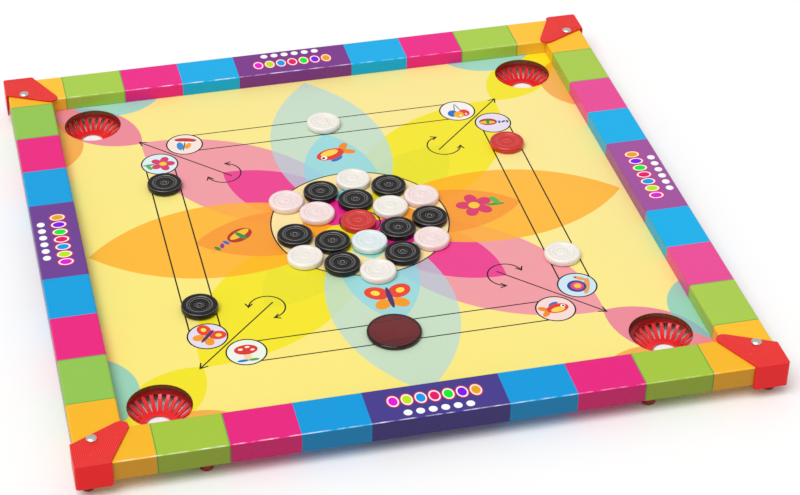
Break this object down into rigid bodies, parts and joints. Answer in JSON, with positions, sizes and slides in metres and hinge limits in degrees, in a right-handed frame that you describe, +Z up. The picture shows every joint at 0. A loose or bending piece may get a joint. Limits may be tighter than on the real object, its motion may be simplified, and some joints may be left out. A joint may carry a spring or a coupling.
{
  "type": "carrom board",
  "caption": "Small square carrom board with coloured rails, slotted corner pockets, ringed men and a striker, standing on low feet.",
  "frame": {"origin": "on the surface that the feet stand on, under the middle of the board", "axes": "+Z up, +X to the right and +Y to the back, square to the rails"},
  "size_m": [0.5118, 0.5118, 0.0322],
  "materials": {
    "printed_panel": "gloss print on hardboard",
    "printed_rail": "gloss printed wrap on wood",
    "cap_plastic": "moulded, finely ribbed on top",
    "cup_plastic": "moulded gloss",
    "rivet_steel": "polished",
    "foot_rubber": "moulded matt",
    "nail_steel": "drawn wire",
    "man_black": "moulded gloss",
    "man_white": "moulded gloss, a little translucent",
    "man_red": "moulded gloss",
    "striker_acrylic": "polished, translucent"
  },
  "bodies": {
    "board": {"playing_panel": "printed_panel", "rail_front": "printed_rail", "rail_right": "printed_rail", "rail_back": "printed_rail", "rail_left": "printed_rail", "corner_cap_front_left": "cap_plastic", "corner_cap_front_right": "cap_plastic", "corner_cap_back_right": "cap_plastic", "corner_cap_back_left": "cap_plastic", "cap_rivet_front_left": "rivet_steel", "cap_rivet_front_right": "rivet_steel", "cap_rivet_back_right": "rivet_steel", "cap_rivet_back_left": "rivet_steel", "pocket_cup_front_left": "cup_plastic", "pocket_cup_front_right": "cup_plastic", "pocket_cup_back_right": "cup_plastic", "pocket_cup_back_left": "cup_plastic", "foot_front_rail_front_left": "foot_rubber", "foot_front_rail_front_right": "foot_rubber", "foot_right_rail_front_right": "foot_rubber", "foot_right_rail_back_right": "foot_rubber", "foot_back_rail_back_right": "foot_rubber", "foot_back_rail_back_left": "foot_rubber", "foot_left_rail_back_left": "foot_rubber", "foot_left_rail_front_left": "foot_rubber", "nail_front_rail_front_left": "nail_steel", "nail_front_rail_front_right": "nail_steel", "nail_right_rail_front_right": "nail_steel", "nail_right_rail_back_right": "nail_steel", "nail_back_rail_back_right": "nail_steel", "nail_back_rail_back_left": "nail_steel", "nail_left_rail_back_left": "nail_steel", "nail_left_rail_front_left": "nail_steel"},
    "queen_01": {"queen_01": "man_red"},
    "black_man_01": {"black_man_01": "man_black"},
    "black_man_02": {"black_man_02": "man_black"},
    "black_man_03": {"black_man_03": "man_black"},
    "black_man_04": {"black_man_04": "man_black"},
    "black_man_05": {"black_man_05": "man_black"},
    "black_man_06": {"black_man_06": "man_black"},
    "black_man_07": {"black_man_07": "man_black"},
    "black_man_08": {"black_man_08": "man_black"},
    "black_man_09": {"black_man_09": "man_black"},
    "white_man_01": {"white_man_01": "man_white"},
    "white_man_02": {"white_man_02": "man_white"},
    "white_man_03": {"white_man_03": "man_white"},
    "white_man_04": {"white_man_04": "man_white"},
    "white_man_05": {"white_man_05": "man_white"},
    "white_man_06": {"white_man_06": "man_white"},
    "white_man_07": {"white_man_07": "man_white"},
    "white_man_08": {"white_man_08": "man_white"},
    "white_man_09": {"white_man_09": "man_white"},
    "black_man_10": {"black_man_10": "man_black"},
    "black_man_11": {"black_man_11": "man_black"},
    "queen_02": {"queen_02": "man_red"},
    "white_man_10": {"white_man_10": "man_white"},
    "white_man_11": {"white_man_11": "man_white"},
    "striker": {"striker": "striker_acrylic"}
  },
  "joints": [
    {"name": "queen_01_lift", "type": "slide", "parent": "board", "child": "queen_01", "axis": [0, 0, 1], "range_m": [0, 0.03]},
    {"name": "black_man_01_slide", "type": "slide", "parent": "board", "child": "black_man_01", "axis": [-0.461, 0.8874, 0], "range_m": [0, 0.03]},
    {"name": "black_man_02_slide", "type": "slide", "parent": "board", "child": "black_man_02", "axis": [0.6359, 0.7718, 0], "range_m": [0, 0.03]},
    {"name": "black_man_03_lift", "type": "slide", "parent": "board", "child": "black_man_03", "axis": [0, 0, 1], "range_m": [0, 0.03]},
    {"name": "black_man_04_slide", "type": "slide", "parent": "board", "child": "black_man_04", "axis": [-0.9934, -0.1148, 0], "range_m": [0, 0.03]},
    {"name": "black_man_05_slide", "type": "slide", "parent": "board", "child": "black_man_05", "axis": [0.983, -0.1834, 0], "range_m": [0, 0.03]},
    {"name": "black_man_06_lift", "type": "slide", "parent": "board", "child": "black_man_06", "axis": [0, 0, 1], "range_m": [0, 0.03]},
    {"name": "black_man_07_lift", "type": "slide", "parent": "board", "child": "black_man_07", "axis": [0, 0, 1], "range_m": [0, 0.03]},
    {"name": "black_man_08_slide", "type": "slide", "parent": "board", "child": "black_man_08", "axis": [-0.5078, -0.8615, 0], "range_m": [0, 0.03]},
    {"name": "black_man_09_slide", "type": "slide", "parent": "board", "child": "black_man_09", "axis": [0.4656, -0.885, 0], "range_m": [0, 0.03]},
    {"name": "white_man_01_slide", "type": "slide", "parent": "board", "child": "white_man_01", "axis": [0.1222, 0.9925, 0], "range_m": [0, 0.03]},
    {"name": "white_man_02_slide", "type": "slide", "parent": "board", "child": "white_man_02", "axis": [-0.8238, 0.5669, 0], "range_m": [0, 0.03]},
    {"name": "white_man_03_lift", "type": "slide", "parent": "board", "child": "white_man_03", "axis": [0, 0, 1], "range_m": [0, 0.03]},
    {"name": "white_man_04_lift", "type": "slide", "parent": "board", "child": "white_man_04", "axis": [0, 0, 1], "range_m": [0, 0.03]},
    {"name": "white_man_05_slide", "type": "slide", "parent": "board", "child": "white_man_05", "axis": [0.9402, 0.3406, 0], "range_m": [0, 0.03]},
    {"name": "white_man_06_lift", "type": "slide", "parent": "board", "child": "white_man_06", "axis": [0, 0, 1], "range_m": [0, 0.03]},
    {"name": "white_man_07_slide", "type": "slide", "parent": "board", "child": "white_man_07", "axis": [0.7817, -0.6236, 0], "range_m": [0, 0.03]},
    {"name": "white_man_08_slide", "type": "slide", "parent": "board", "child": "white_man_08", "axis": [-0.7898, -0.6134, 0], "range_m": [0, 0.03]},
    {"name": "white_man_09_slide", "type": "slide", "parent": "board", "child": "white_man_09", "axis": [-0.0278, -0.9996, 0], "range_m": [0, 0.03]},
    {"name": "black_man_10_slide", "type": "slide", "parent": "board", "child": "black_man_10", "axis": [0, 1, 0], "range_m": [-0.06, 0.035]},
    {"name": "black_man_11_slide", "type": "slide", "parent": "board", "child": "black_man_11", "axis": [0, 1, 0], "range_m": [-0.0326, 0.06]},
    {"name": "queen_02_slide", "type": "slide", "parent": "board", "child": "queen_02", "axis": [0, 1, 0], "range_m": [-0.06, 0.0367]},
    {"name": "white_man_10_slide", "type": "slide", "parent": "board", "child": "white_man_10", "axis": [0, 1, 0], "range_m": [-0.0371, 0.06]},
    {"name": "white_man_11_slide", "type": "slide", "parent": "board", "child": "white_man_11", "axis": [1, 0, 0], "range_m": [-0.1187, 0.1157]},
    {"name": "striker_slide", "type": "slide", "parent": "board", "child": "striker", "axis": [1, 0, 0], "range_m": [-0.1099, 0.1245]}
  ]
}
